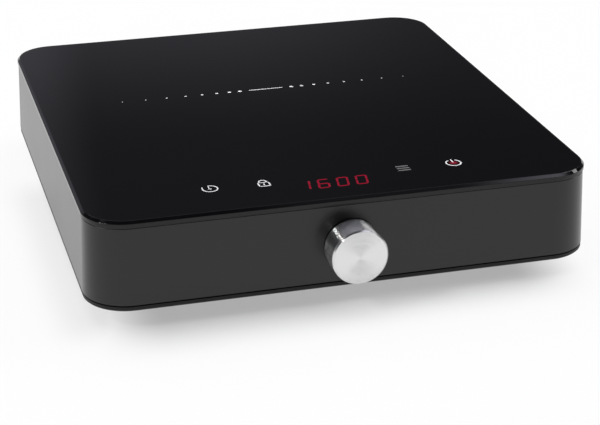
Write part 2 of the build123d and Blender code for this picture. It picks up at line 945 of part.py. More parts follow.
def coil_terminals():
    top = board_top + terminal_height
    return Compound([post(terminal_radius, board_top, top, (terminal_x, y)) for y in terminal_ys])


def board_connector():
    top = board_top + connector_height
    return slab(connector_length, connector_width, board_top, top, on_board(connector_spot))


def mains_block():
    """Terminal block where the mains conductors land, with two wire ways."""
    y = pan_half_depth - mains_block_from_back - mains_block_width / 2
    place = (-gland_offset, y)
    top = pan_floor + mains_block_height
    block = slab(mains_block_length, mains_block_width, pan_floor, top, place)
    for side in (-1, 1):
        x = place[0] + side * mains_block_spread / 2
        level = pan_floor + mains_block_height / 2
        start = y - mains_block_width / 2
        block -= axle(mains_block_bore, start, start + mains_block_width, x, level)
    return block


# Leads


def lead(radius, points):
    """Round lead along straight runs joined by arcs, between upright ends."""
    path = FilletPolyline(*points, radius=lead_bend)
    start = Plane(origin=points[0], z_dir=path % 0)
    return sweep(start * Circle(radius), path)


def coil_leads():
    start = board_top + terminal_height
    leads = []
    for y in terminal_ys:
        points = [
            (terminal_x, y, start),
            (terminal_x, y, coil_lead_level),
            (coil_lead_reach, y, coil_lead_level),
            (coil_lead_reach, y, coil_bottom),
        ]
        leads.append(lead(coil_lead_radius, points))
    return Compound(leads)


def control_lead():
    x, y_end = on_board(connector_spot)
    y_start = control_y + control_lead_back
    points = [
        (x, y_start, control_bottom),
        (x, y_start, control_lead_level),
        (x, y_end, control_lead_level),
        (x, y_end, board_top + connector_height),
    ]
    return lead(control_lead_radius, points)


# Fan


fan_spot = (fan_x, fan_y)
fan_tip = fan_bore - fan_tip_gap
hub_bottom = fan_bottom + fan_web + fan_running_gap
hub_top = fan_top - fan_running_gap
bearing_top = hub_top - fan_hub_wall - fan_running_gap


def fan_frame():
    """Square frame with a round duct, four struts and the motor plate at the intake side."""
    frame = rounded(fan_size, fan_size, fan_corner, fan_bottom, fan_top, spot=fan_spot)
    frame -= post(fan_bore, fan_bottom, fan_top, fan_spot)
    web_top = fan_bottom + fan_web
    strut_length = fan_bore + fan_strut_sink
    for i in range(4):
        strut = slab(strut_length, fan_strut, fan_bottom, web_top, (strut_length / 2, 0))
        frame += Pos(fan_x, fan_y, 0) * Rot(0, 0, 45 + 90 * i) * strut
    frame += post(fan_motor_radius, fan_bottom, web_top, fan_spot)
    frame += post(bearing_radius + fan_hub_wall, fan_bottom, bearing_top, fan_spot)
    frame -= post(bearing_radius, fan_bottom, fan_top, fan_spot)
    return drill(frame, fan_holes, fan_hole_radius, fan_bottom, fan_top)


def fan_bearing():
    bore = fan_shaft_radius + bearing_running_gap
    return ring(bearing_radius, bore, fan_bottom, bearing_top, fan_spot)


def blade_section(chord):
    """Thin cambered section: two parallel arcs closed at both ends."""
    half = chord / 2
    top = ThreePointArc((-half, 0), (0, blade_camber), (half, 0))
    low = -blade_thickness
    under = ThreePointArc((half, low), (0, blade_camber + low), (-half, low))
    tail = Line((half, 0), (half, low))
    nose = Line((-half, low), (-half, 0))
    return make_face([top, tail, under, nose])


def fan_blade():
    """One twisted blade, lofted from the hub to past the tip and trimmed round."""
    middle = (hub_bottom + hub_top) / 2
    stations = (
        (fan_hub_radius - blade_sink, blade_chord_root, blade_pitch_root),
        (fan_tip + blade_sink, blade_chord_tip, blade_pitch_tip),
    )
    sections = []
    for radius, chord, pitch in stations:
        plane = Plane(origin=(radius, 0, middle), x_dir=(0, 1, 0), z_dir=(1, 0, 0))
        sections.append(plane * Rot(0, 0, pitch) * blade_section(chord))
    blade = loft(sections)
    return blade & post(fan_tip, hub_bottom, hub_top)


def fan_rotor():
    """Hub cup with its ring of twisted blades."""
    cup = post(fan_hub_radius, hub_bottom, hub_top)
    blade = fan_blade()
    rotor = cup
    for i in range(fan_blades):
        rotor += Rot(0, 0, 360 * i / fan_blades) * blade
    rotor -= post(fan_hub_radius - fan_hub_wall, hub_bottom, hub_top - fan_hub_wall)
    rotor -= post(fan_shaft_radius, hub_bottom, hub_top)
    return Pos(fan_x, fan_y, 0) * rotor


def fan_shaft():
    return post(fan_shaft_radius, fan_bottom + bearing_running_gap, hub_top, fan_spot)


# Every piece under its node's name
pieces = {
    "glass_top": glass_top_plate(),
    "glass_seal": glass_seal_bead(),
    "body_shell": body_shell(),
    "rear_grille": rear_grille(),
    "base_tray": base_tray(),
    "rubber_feet": rubber_feet(),
    "base_screws": screws_up(boss_spots, rim_bottom, rim_top + boss_pilot_depth - screw_play),
    "knob_cap": knob_cap(),
    "knob_insert": knob_insert(),
    "encoder_shaft": encoder_shaft(),
    "encoder_body": encoder_body(),
    "encoder_washer": encoder_washer(),
    "encoder_nut": encoder_nut(),
    "cord_gland": cord_gland(),
    "gland_nut": gland_nut(),
    "control_bracket": control_bracket(),
    "bracket_screws": screws_up(
        bracket_holes, ledge_bottom - bracket_thickness, body_top - ledge_skin - screw_play
    ),
    "control_board": control_board(),
    "control_screws": screws_down(control_holes, control_top, bracket_floor),
    "display_module": display_module(),
    "touch_pads": touch_pads(),
    "key_lamps": key_lamps(),
    "mica_sheet": ring(mica_radius, mica_hole, coil_top, glass_bottom, centre),
    "coil_winding": ring(coil_outer, coil_inner, coil_bottom, coil_top, centre),
    "coil_former": coil_former(),
    "ferrite_bars": ferrite_bars(),
    "thermistor_plug": thermistor_plug(),
    "thermistor": post(thermistor_radius, glass_bottom - thermistor_height, glass_bottom, centre),
    "coil_screws": screws_down(coil_post_spots, coil_bottom, former_bottom - coil_screw_bite),
    "power_board": power_board(),
    "board_screws": screws_down(board_holes, board_top, pan_floor),
    "heat_sink": heat_sink(),
    "power_transistor": power_device(transistor_width, transistor_length, transistor_spot),
    "bridge_rectifier": power_device(rectifier_width, rectifier_length, rectifier_spot),
    "resonant_capacitor": film_capacitor(
        resonant_width, resonant_length, resonant_height, resonant_spot
    ),
    "filter_capacitor": film_capacitor(filter_width, filter_length, filter_height, filter_spot),
    "choke_core": choke_core(),
    "choke_winding": choke_winding(),
    "transformer_core": transformer_core(),
    "transformer_bobbin": transformer_bobbin(),
    "smoothing_capacitor": smoothing_capacitor(),
    "fuse": fuse(),
    "varistor": varistor(),
    "coil_terminals": coil_terminals(),
    "board_connector": board_connector(),
    "mains_block": mains_block(),
    "coil_leads": coil_leads(),
    "control_lead": control_lead(),
    "fan_frame": fan_frame(),
    "fan_bearing": fan_bearing(),
    "fan_rotor": fan_rotor(),
    "fan_shaft": fan_shaft(),
    "fan_screws": screws_down(fan_holes, fan_top, pan_floor),
}

os.makedirs("parts", exist_ok=True)
for name, piece in pieces.items():
    export_step(Pos(0, frame_shift, 0) * piece, f"parts/{name}.step")
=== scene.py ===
import bmesh
import bpy
import numpy as np
from mathutils import Matrix, Vector


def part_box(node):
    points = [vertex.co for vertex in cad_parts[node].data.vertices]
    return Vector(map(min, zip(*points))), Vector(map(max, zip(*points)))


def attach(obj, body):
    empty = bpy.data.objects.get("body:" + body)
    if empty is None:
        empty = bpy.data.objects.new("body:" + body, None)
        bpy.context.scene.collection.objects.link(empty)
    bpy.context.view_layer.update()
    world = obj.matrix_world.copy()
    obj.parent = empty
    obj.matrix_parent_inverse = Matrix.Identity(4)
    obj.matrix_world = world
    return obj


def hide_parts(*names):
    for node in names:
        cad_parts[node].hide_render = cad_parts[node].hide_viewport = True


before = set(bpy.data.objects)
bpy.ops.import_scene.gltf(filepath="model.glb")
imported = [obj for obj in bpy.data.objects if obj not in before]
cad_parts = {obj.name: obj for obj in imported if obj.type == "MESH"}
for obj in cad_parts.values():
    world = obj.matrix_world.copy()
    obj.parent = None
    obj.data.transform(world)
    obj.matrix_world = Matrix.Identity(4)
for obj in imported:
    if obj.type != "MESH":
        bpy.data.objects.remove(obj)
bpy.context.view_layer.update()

bl_info = {
    "name": "Induction cooktop looks",
    "version": (1, 0, 0),
    "blender": (4, 5, 0),
    "location": "View3D > Sidebar > Cooktop",
    "description": "Finishes, printed marks and lit display of a portable induction cooktop",
    "category": "Object",
}

# Places on the cooktop, read from the frame
glass_low, glass_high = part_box("glass_top")
glass_middle = (glass_low + glass_high) / 2
glass_face = glass_high.z
knob_low, knob_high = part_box("knob_cap")
knob_axis = (knob_low + knob_high) / 2
coil_low, coil_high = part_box("coil_winding")
coil_middle = (coil_low + coil_high) / 2
screw_low, screw_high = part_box("base_screws")

MM = 0.001
WHITE = (1.0, 1.0, 1.0, 1.0)

# Printed shapes: points along a rounded end and round a dot, and how much of the width is flat on top
end_points = 7
dot_points = 28
flat_share = 0.94


def grey(level, blue=0.0):
    """Neutral colour of one linear level, with a little more blue where stated."""
    return (level, level, level + blue, 1.0)


# Settings that a user would change


def number_setting(name, description, default, unit="NONE"):
    return bpy.props.FloatProperty(name=name, description=description, default=default, unit=unit)


def length_setting(name, description, default):
    return number_setting(name, description, default, "LENGTH")


def share_setting(name, description, default):
    """A number from 0 to 1, such as a roughness."""
    return bpy.props.FloatProperty(name=name, description=description, default=default, subtype="FACTOR")


def angle_setting(name, description, degrees):
    angle = np.radians(degrees)
    return bpy.props.FloatProperty(name=name, description=description, default=angle, subtype="ANGLE")


def colour_setting(name, description, default):
    return bpy.props.FloatVectorProperty(
        name=name, description=description, default=default, size=4, subtype="COLOR"
    )


class MarkSettings(bpy.types.PropertyGroup):
    """Sizes and places of the marks printed on the glass, from the middle of the plate."""

    ink_height: length_setting("Ink height", "How far the printed ink stands on the glass", 0.03 * MM)
    side_shift: length_setting(
        "Print shift", "How far the print lies to the right of the middle of the plate", -0.45 * MM
    )
    row_back: length_setting(
        "Dot row", "Distance of the row of dots behind the middle of the glass", 29.8 * MM
    )
    dots: bpy.props.IntProperty(
        name="Dots", description="Dots on each side of the middle bar", default=8, min=2
    )
    dot_start: length_setting("First dot", "Distance of the first dot from the middle", 17.5 * MM)
    dot_step: length_setting("First step", "Distance between the first two dots", 7.07 * MM)
    dot_growth: length_setting("Step growth", "How much longer each step is than the last", 1.35 * MM)
    dot_inner: length_setting("Inner dot radius", "Radius of the dots next to the middle bar", 1.28 * MM)
    dot_outer: length_setting("Outer dot radius", "Radius of the dots at the ends of the row", 0.36 * MM)
    bar_length: length_setting("Middle bar", "Length of the bar in the middle of the dot row", 23.0 * MM)
    bar_width: length_setting("Middle bar width", "Width of the bar in the middle of the dot row", 0.9 * MM)
    keys_front: length_setting(
        "Key row", "Distance of the touch keys in front of the middle of the glass", 128.4 * MM
    )
    key_inner: length_setting("Inner keys", "Distance of the two inner keys from the middle", 42.2 * MM)
    key_outer: length_setting("Outer keys", "Distance of the two outer keys from the middle", 73.5 * MM)
    key_radius: length_setting(
        "Key ring radius", "Radius of the rings of the timer and power symbols", 4.4 * MM
    )
    line_width: length_setting("Symbol line", "Width of the lines of the key symbols", 0.88 * MM)
    ink_colour: colour_setting("White ink", "Colour of the white marks", grey(0.80))
    faint_colour: colour_setting("Grey ink", "Colour of the grey marks", grey(0.125))


class DisplaySettings(bpy.types.PropertyGroup):
    """The lit figures that show through the front of the glass."""

    figures: bpy.props.StringProperty(
        name="Figures", description="Figures that the display shows", default="1600"
    )
    row_front: length_setting(
        "Figure row", "Distance of the figures in front of the middle of the glass", 138.5 * MM
    )
    row_side: length_setting(
        "Row middle", "Place of the middle of the row, to the right of the middle of the print", -3.4 * MM
    )
    pitch: length_setting("Figure pitch", "Distance from one figure to the next", 11.4 * MM)
    figure_width: length_setting(
        "Figure width", "Width of one figure between the middles of its strokes", 6.0 * MM
    )
    figure_height: length_setting(
        "Figure height", "Height of one figure between the middles of its strokes", 12.0 * MM
    )
    segment_width: length_setting("Segment width", "Width of a lit segment", 1.2 * MM)
    segment_gap: length_setting("Segment gap", "Gap between the ends of two segments", 0.5 * MM)
    slant: angle_setting("Slant", "Lean of the figures", 10.0)
    colour: colour_setting("Lit colour", "Colour of a lit segment", (0.29, 0.004, 0.023, 1.0))
    glow_radius: length_setting("Glow radius", "Radius of the red glow behind the power key", 4.2 * MM)


class FinishSettings(bpy.types.PropertyGroup):
    """Colours and gloss of the parts that show."""

    glass_colour: colour_setting("Glass", "Colour of the enamel under the glass", grey(0.002, 0.0005))
    glass_roughness: share_setting("Glass roughness", "Roughness of the clean glass", 0.024)
    edge_roughness: share_setting("Edge roughness", "Roughness of the ground edge of the glass", 0.16)
    bevel_depth: length_setting(
        "Bevel depth", "Depth of the polished bevel, below which the edge of the glass is ground", 1.62 * MM
    )
    arris_radius: length_setting(
        "Arris radius", "Rounding of the arris between the face and the bevel of the glass", 0.45 * MM
    )
    housing_colour: colour_setting("Housing", "Colour of the satin housing", grey(0.002))
    housing_roughness: share_setting("Housing roughness", "Roughness of the satin housing", 0.255)
    tray_colour: colour_setting("Base tray", "Colour of the grained base tray", grey(0.012))
    knob_colour: colour_setting("Knob", "Colour of the spun aluminium", grey(0.74))
    knob_roughness: share_setting("Knob roughness", "Roughness of the spun aluminium", 0.22)
    groove_spacing: length_setting(
        "Groove spacing", "Distance between the turning marks of the knob", 0.005 * MM
    )
    face_slope: number_setting("Face slope", "Steepest lean of a turning mark on the knob's face", 0.6)
    side_slope: number_setting("Side slope", "Steepest lean of a turning mark on the knob's side", 1.0)
    bevel_slope: number_setting("Bevel slope", "Steepest lean of a turning mark on the knob's bevel", 0.25)


class ScrewSettings(bpy.types.PropertyGroup):
    """The screws that hold the base tray."""

    side_spread: length_setting(
        "Side screws", "Distance of the side screws from the middle, along the depth", 85.0 * MM
    )
    end_spread: length_setting(
        "End screws", "Distance of the front and back screws from the middle, along the width", 118.0 * MM
    )
    head_radius: length_setting("Head radius", "Radius of a screw head", 2.8 * MM)
    head_height: length_setting("Head height", "Height of a screw head", 1.6 * MM)
    shank_radius: length_setting("Shank radius", "Radius of a screw shank", 1.2 * MM)
    recess_radius: length_setting(
        "Recess reach", "How far the cross recess reaches from the screw's axis", 1.7 * MM
    )
    recess_width: length_setting("Recess width", "Half width of an arm of the cross", 0.35 * MM)
    recess_depth: length_setting("Recess depth", "Depth of the cross recess", 0.9 * MM)


class StageSettings(bpy.types.PropertyGroup):
    """Camera, lamps and floor. The camera looks at the middle of the glass and is then slid."""

    lens: number_setting("Lens", "Focal length on a 36 mm sensor", 105.275, "CAMERA")
    yaw: angle_setting("Yaw", "Turn of the view to the right of straight back", 15.4467)
    pitch: angle_setting("Pitch", "Tilt of the view downwards", 23.2328)
    roll: angle_setting("Roll", "Turn about the line of sight", -0.1545)
    distance: length_setting("Distance", "Distance of the camera from the middle of the glass", 1.129942)
    slide_right: length_setting("Slide right", "Slide of the camera to its right", 0.014258)
    slide_up: length_setting("Slide up", "Slide of the camera upwards", -0.0702)
    overhead_power: number_setting("Overhead lamp", "Power of the wide lamp overhead", 38.0, "POWER")
    left_power: number_setting("Left lamp", "Power of the narrow lamp at the left", 8.5, "POWER")
    right_power: number_setting("Right lamp", "Power of the lamp at the right", 13.0, "POWER")
    floor_radius: length_setting("Floor radius", "Radius of the round floor", 9.0)
    floor_colour: colour_setting("Floor", "Colour of the floor", grey(0.90))
    floor_white: share_setting("Floor white", "Share of plain white that the floor shows to the eye", 0.9)
    front_white: share_setting(
        "Front white", "Share of plain white in front of the cooktop, where the shadow shows", 0.40
    )
    # The left patch darkens the floor beside the cooktop: painted shade.
    left_shade: share_setting("Left fade", "Loss of plain white at the left, as a share of the front's", 0.45)
    sky_low: number_setting("Horizon light", "Brightness of the studio near the floor", 1.0)
    sky_high: number_setting("Ceiling light", "Brightness of the dark ceiling at the left", 0.047)
    sky_top: number_setting("Zenith light", "Brightness of the studio straight above", 0.62)
    left_glow: number_setting("Left glow", "Brightness of a glow far back at the left", 0.085)
    front_strip: number_setting("Front strip", "Brightness of a light high in front at the right", 1.35)
    front_fill: number_setting("Front fill", "Brightness of the dim light round the front strip", 0.1)
    rear_strip: number_setting("Rear strip", "Brightness of a light high behind the cooktop", 0.7)


# Shader sockets


class Socket:
    """One value in a node tree. Arithmetic on it adds Math nodes."""

    def __init__(self, tree, output):
        self.tree = tree
        self.output = output

    def node(self, kind, settings=None, values=None, output=0):
        """Adds a node of any type: its settings come first, then the values or links of its sockets."""
        made = self.tree.nodes.new(kind)
        for name, value in (settings or {}).items():
            setattr(made, name, value)
        for key, value in (values or {}).items():
            if isinstance(value, Socket):
                self.tree.links.new(value.output, made.inputs[key])
            else:
                made.inputs[key].default_value = value
        return Socket(self.tree, made.outputs[output])

    def math(self, operation, *inputs):
        return self.node("ShaderNodeMath", {"operation": operation}, dict(enumerate(inputs)))

    def __add__(self, other):
        return self.math("ADD", self, other)

    def __radd__(self, other):
        return self.math("ADD", other, self)

    def __sub__(self, other):
        return self.math("SUBTRACT", self, other)

    def __rsub__(self, other):
        return self.math("SUBTRACT", other, self)

    def __mul__(self, other):
        return self.math("MULTIPLY", self, other)

    def __rmul__(self, other):
        return self.math("MULTIPLY", other, self)

    def __truediv__(self, other):
        return self.math("DIVIDE", self, other)

    def __rtruediv__(self, other):
        return self.math("DIVIDE", other, self)

    def __pow__(self, other):
        return self.math("POWER", self, other)

    def __rpow__(self, other):
        return self.math("POWER", other, self)

    def __abs__(self):
        return self.math("ABSOLUTE", self)


def new_material(name):
    """A material with an empty node tree, and its Object coordinates."""
    material = bpy.data.materials.new(name)
    material.use_nodes = True
    tree = material.node_tree
    tree.nodes.clear()
    start = tree.nodes.new("ShaderNodeTexCoord")
    return material, Socket(tree, start.outputs["Object"])


def close_material(place, shader):
    """Links a shader to the material's output."""
    made = place.tree.nodes.new("ShaderNodeOutputMaterial")
    place.tree.links.new(shader.output, made.inputs["Surface"])


def principled(place, **sockets):
    """Principled shader; a socket's name is written with _ for its spaces."""
    names = {key.replace("_", " ").title(): value for key, value in sockets.items()}
    names = {key.replace("Ior", "IOR"): value for key, value in names.items()}
    return place.node("ShaderNodeBsdfPrincipled", values=names)


def one_shader(material, place, **sockets):
    """The finished material, where one Principled shader is all of it."""
    close_material(place, principled(place, **sockets))
    return material


def noise(place, scale, detail=2.0, roughness=0.5):
    """Cloudy noise from 0 to 1; the scale is in waves per metre."""
    values = {"Vector": place, "Scale": scale, "Detail": detail, "Roughness": roughness}
    return place.node("ShaderNodeTexNoise", {"noise_dimensions": "3D"}, values)


def line_noise(value, scale):
    """Noise along one value, such as a radius, so that it makes rings or lines."""
    values = {"W": value, "Scale": scale, "Detail": 1.0}
    return value.node("ShaderNodeTexNoise", {"noise_dimensions": "1D"}, values)


def cells(place, scale, feature="F1", output="Distance"):
    """Cell pattern; the scale is in cells per metre."""
    values = {"Vector": place, "Scale": scale}
    return place.node("ShaderNodeTexVoronoi", {"feature": feature}, values, output)


def between(share, low, high):
    """A value that goes from low to high as the share goes from 0 to 1."""
    return share * (high - low) + low


def ease(value, start, end):
    """Goes smoothly from 0 to 1 as a value goes from start to end."""
    values = {"Value": value, "From Min": start, "From Max": end}
    return value.node("ShaderNodeMapRange", {"interpolation_type": "SMOOTHSTEP"}, values)


def window(value, rise, fall):
    """1 between two soft edges and 0 outside them; each edge is the pair of values that it lies between."""
    return ease(value, rise[0], rise[1]) * ease(value, fall[1], fall[0])


def mix_colour(share, first, second):
    """Colour that goes from the first to the second as the share goes from 0 to 1."""
    return share.node("ShaderNodeMix", {"data_type": "RGBA"}, {0: share, 6: first, 7: second}, 2)


def shade(colour, factor):
    """The same colour, lighter or darker."""
    return tuple(min(1.0, part * factor) for part in colour[:3]) + (1.0,)


def vary(share, colour, low, high):
    """A colour times a factor that goes from low to high as the share goes from 0 to 1."""
    return mix_colour(share, shade(colour, low), shade(colour, high))


def bump(height, distance, strength=1.0):
    """Normal that follows a height; the distance is the height's full range in metres."""
    values = {"Strength": strength, "Distance": distance, "Height": height}
    return height.node("ShaderNodeBump", values=values)


def vector(operation, first, second):
    """Vector arithmetic; at least the first is a socket."""
    return first.node("ShaderNodeVectorMath", {"operation": operation}, {0: first, 1: second})


def unit(arrow):
    """A vector of the same direction and length 1."""
    return arrow.node("ShaderNodeVectorMath", {"operation": "NORMALIZE"}, {0: arrow})


def scaled(arrow, factor):
    """A vector made longer or shorter by a value."""
    return arrow.node("ShaderNodeVectorMath", {"operation": "SCALE"}, {0: arrow, "Scale": factor})


def from_middle(place, middle):
    """Coordinates counted from a point."""
    return vector("SUBTRACT", place, tuple(middle))


def axis_part(place, axis):
    """One of the coordinates X, Y or Z."""
    return place.node("ShaderNodeSeparateXYZ", values={"Vector": place}, output=axis)


def radius_about(place, middle, first, second):
    """Distance from an axis through a point; first and second are the coordinates across it."""
    local = from_middle(place, middle)
    across = axis_part(local, first)
    along = axis_part(local, second)
    return (across * across + along * along) ** 0.5


# Finishes of the outside


def black_glass(finish):
    """Polished black glass with faint wiping marks in its gloss, and a ground edge."""
    material, place = new_material("black_glass")
    glass_ior = 1.52
    wipe = noise(place, scale=14.0, detail=3.0) * noise(place, scale=60.0)
    colour = vary(noise(place, scale=25.0), finish.glass_colour, 1.0, 1.2)
    normal = place.node("ShaderNodeBevel", {"samples": 4}, {"Radius": finish.arris_radius})
    gloss = between(wipe, finish.glass_roughness, finish.glass_roughness + 0.05)
    polished = principled(place, base_color=colour, roughness=gloss, ior=glass_ior, normal=normal)
    grain = noise(place, scale=1800.0)
    rough = between(grain, finish.edge_roughness, finish.edge_roughness + 0.06)
    edge = principled(
        place, base_color=colour, roughness=rough, ior=glass_ior, specular_ior_level=0.34, normal=normal
    )
    depth = glass_face - axis_part(place, "Z")
    ground = depth.math("GREATER_THAN", depth, finish.bevel_depth)
    close_material(place, place.node("ShaderNodeMixShader", values={0: ground, 1: polished, 2: edge}))
    return material


def satin_housing(finish):
    """Satin black plastic with a very fine moulded grain."""
    material, place = new_material("satin_housing")
    grain = noise(place, scale=2600.0)
    cloud = noise(place, scale=22.0, detail=3.0)
    colour = vary(cloud, finish.housing_colour, 1.0, 1.1)
    roughness = between(cloud, finish.housing_roughness - 0.015, finish.housing_roughness + 0.015)
    normal = bump(grain, 0.002 * MM, strength=0.5)
    return one_shader(material, place, base_color=colour, roughness=roughness, normal=normal)


def grained_tray(finish):
    """Black plastic with a coarser eroded grain, duller than the housing."""
    material, place = new_material("grained_tray")
    grain = noise(place, scale=1500.0, detail=3.0, roughness=0.6)
    pits = cells(place, scale=2200.0)
    colour = vary(grain, finish.tray_colour, 0.8, 1.3)
    roughness = between(grain, 0.42, 0.57)
    normal = bump(grain + pits * 0.4, 0.03 * MM, strength=0.6)
    return one_shader(
        material, place, base_color=colour, roughness=roughness, specular_ior_level=0.28, normal=normal
    )


def spun_aluminium(finish):
    """Turned aluminium: rings cut by the tool on the face, the bevel and the side."""
    material, place = new_material("spun_aluminium")
    grooves_in_band = 100
    along = radius_about(place, knob_axis, "X", "Z") + axis_part(place, "Y")
    band = line_noise(along, scale=1.0 / (grooves_in_band * finish.groove_spacing))
    colour = vary(band, finish.knob_colour, 0.96, 1.04)
    roughness = between(band, finish.knob_roughness - 0.03, finish.knob_roughness + 0.03)
    normal = turned_normal(place, along / finish.groove_spacing, finish)
    return one_shader(material, place, base_color=colour, roughness=roughness, metallic=1.0, normal=normal)


def turned_normal(place, ring, finish):
    """Normal of a lathe-cut surface. Each ring leans across the direction of turning by its own random
    slope, the sum of two draws, so that light spreads across the rings and not along them. The cut is
    coarser on the side than on the face, and finest on the bevel, which faces half way between them."""
    number = ring.math("FLOOR", ring)
    draw = ring_draw(number) + ring_draw(number + 0.5) - 1.0
    flat = place.node("ShaderNodeTexCoord", output="Normal")
    facing = abs(axis_part(flat, "Y"))
    bevel_facing = 0.7
    bevel_margin = 0.2
    slope = between(facing, finish.side_slope, finish.face_slope)
    bevel = facing.math("COMPARE", facing, bevel_facing, bevel_margin)
    slope = slope + bevel * (finish.bevel_slope - slope)
    around = unit(vector("CROSS_PRODUCT", from_middle(place, knob_axis), (0.0, 1.0, 0.0)))
    lean = scaled(vector("CROSS_PRODUCT", around, flat), draw * slope)
    to_world = {"vector_type": "NORMAL", "convert_from": "OBJECT", "convert_to": "WORLD"}
    return place.node("ShaderNodeVectorTransform", to_world, {"Vector": vector("ADD", flat, lean)})


def ring_draw(number):
    """Random value from 0 to 1 for each number."""
    return number.node("ShaderNodeTexWhiteNoise", {"noise_dimensions": "1D"}, {"W": number})


def matt_rubber(name, colour):
    """Dull rubber with a fine, dusty grain."""
    material, place = new_material(name)
    grain = noise(place, scale=1200.0, detail=3.0, roughness=0.65)
    dust = noise(place, scale=90.0, detail=3.0)
    tone = vary(dust, colour, 0.85, 1.35)
    roughness = between(grain, 0.68, 0.83)
    normal = bump(grain, 0.02 * MM, strength=0.6)
    return one_shader(material, place, base_color=tone, roughness=roughness, normal=normal)


def moulded_plastic(name, colour, roughness):
    """Moulded plastic with flow clouds in its colour and a fine grain."""
    material, place = new_material(name)
    grain = noise(place, scale=1400.0)
    flow = noise(place, scale=40.0, detail=3.0)
    tone = vary(flow, colour, 0.9, 1.12)
    gloss = between(flow, roughness, roughness + 0.1)
    normal = bump(grain, 0.01 * MM, strength=0.5)
    return one_shader(material, place, base_color=tone, roughness=gloss, normal=normal)


def drawn_metal(name, colour, roughness, axis="Z"):
    """Metal with fine marks left across one axis by turning, drawing or extrusion."""
    material, place = new_material(name)
    marks = line_noise(axis_part(place, axis), scale=4000.0)
    tarnish = noise(place, scale=150.0, detail=3.0)
    tone = vary(tarnish, colour, 0.82, 1.08)
    gloss = between(tarnish, roughness, roughness + 0.18)
    normal = bump(marks, 0.006 * MM, strength=0.5)
    return one_shader(material, place, base_color=tone, roughness=gloss, metallic=1.0, normal=normal)


# Finishes of the inside, which show through the grilles


def circuit_laminate():
    """Green solder mask with lighter copper tracks under it, and tinned spots."""
    material, place = new_material("circuit_laminate")
    track_sharpness = 14.0
    track_blend = 0.5
    spot_size = 0.16
    track = cells(place, scale=220.0, feature="DISTANCE_TO_EDGE")
    edge = 1.0 - track.math("SMOOTH_MIN", track * track_sharpness, 1.0, track_blend)
    spot = cells(place, scale=300.0)
    tinned = spot.math("LESS_THAN", spot, spot_size)
    mask = mix_colour(edge, (0.008, 0.075, 0.022, 1.0), (0.02, 0.16, 0.05, 1.0))
    colour = mix_colour(tinned, mask, grey(0.55))
    roughness = between(tinned, 0.38, 0.28)
    normal = bump(edge, 0.03 * MM, strength=0.6)
    return one_shader(
        material, place, base_color=colour, roughness=roughness, metallic=tinned, normal=normal
    )


def wound_copper():
    """Flat spiral of stranded copper: round turns about the coil's axis, each a bundle of strands, with
    painted shade in the grooves between the turns.
    """
    material, place = new_material("wound_copper")
    turn_pitch = 3.0 * MM
    phase = radius_about(place, coil_middle, "X", "Y") * (2 * np.pi / turn_pitch)
    turn = phase.math("SINE", phase) * 0.5 + 0.5
    strand = noise(place, scale=2400.0)
    # Painted shade: each turn is full copper on its crown and darkens towards the groove beside it,
    # following the same sine as the bump.
    colour = mix_colour(turn, (0.10, 0.03, 0.012, 1.0), (0.55, 0.22, 0.09, 1.0))
    roughness = between(strand, 0.3, 0.5)
    normal = bump(turn + strand * 0.3, 0.9 * MM, strength=0.7)
    return one_shader(material, place, base_color=colour, roughness=roughness, metallic=0.8, normal=normal)


def pressed_mica():
    """Pale sheet of pressed flakes."""
    material, place = new_material("pressed_mica")
    flake = cells(place, scale=260.0, output="Color")
    tint = flake.node("ShaderNodeRGBToBW", values={"Color": flake})
    colour = mix_colour(tint, (0.42, 0.33, 0.2, 1.0), (0.62, 0.53, 0.37, 1.0))
    return one_shader(material, place, base_color=colour, roughness=between(tint, 0.35, 0.6))


def sintered_ferrite():
    """Dark, dense ceramic with a speckled face."""
    material, place = new_material("sintered_ferrite")
    speck = noise(place, scale=1800.0, detail=3.0, roughness=0.7)
    colour = mix_colour(speck, grey(0.015), grey(0.05, 0.004))
    roughness = between(speck, 0.45, 0.65)
    normal = bump(speck, 0.04 * MM, strength=0.6)
    return one_shader(material, place, base_color=colour, roughness=roughness, normal=normal)


# Finishes of the marks


def printed_ink(name, colour):
    """Fired ink: a little grain in its cover and its gloss."""
    material, place = new_material(name)
    cover = noise(place, scale=3000.0)
    tone = vary(cover, colour, 0.92, 1.04)
    return one_shader(material, place, base_color=tone, roughness=between(cover, 0.3, 0.5))


def lit_segment(display):
    """Red light seen through the glass, slightly uneven, under a polished face."""
    material, place = new_material("lit_segment")
    spread = noise(place, scale=500.0, detail=1.0)
    return one_shader(
        material,
        place,
        base_color=grey(0.001),
        roughness=0.06,
        specular_ior_level=0.3,
        emission_color=vary(spread, display.colour, 0.8, 1.2),
        emission_strength=1.0,
    )


def key_glow(display, middle):
    """Red light behind the power key that fades out from its middle."""
    material, place = new_material("key_glow")
    radius = radius_about(place, middle, "X", "Y") / display.glow_radius
    values = {"Value": radius, "From Min": 0.0, "From Max": 1.0, "To Min": 1.0, "To Max": 0.0}
    fade = place.node("ShaderNodeMapRange", {"interpolation_type": "SMOOTHERSTEP"}, values)
    return one_shader(
        material,
        place,
        base_color=grey(0.01),
        roughness=0.06,
        alpha=fade,
        emission_color=vary(fade, display.colour, 0.1, 1.0),
        emission_strength=1.0,
    )


# Surfaces


def grid_faces(rows, columns):
    """Corner numbers of the quads of a grid, each of whose rows is a closed loop of points."""
    row, column = np.meshgrid(np.arange(rows - 1), np.arange(columns), indexing="ij")
    next_row = row + 1
    next_column = (column + 1) % columns
    corners = [
        row * columns + column,
        next_row * columns + column,
        next_row * columns + next_column,
        row * columns + next_column,
    ]
    return np.stack(corners, -1).reshape(-1, 4)


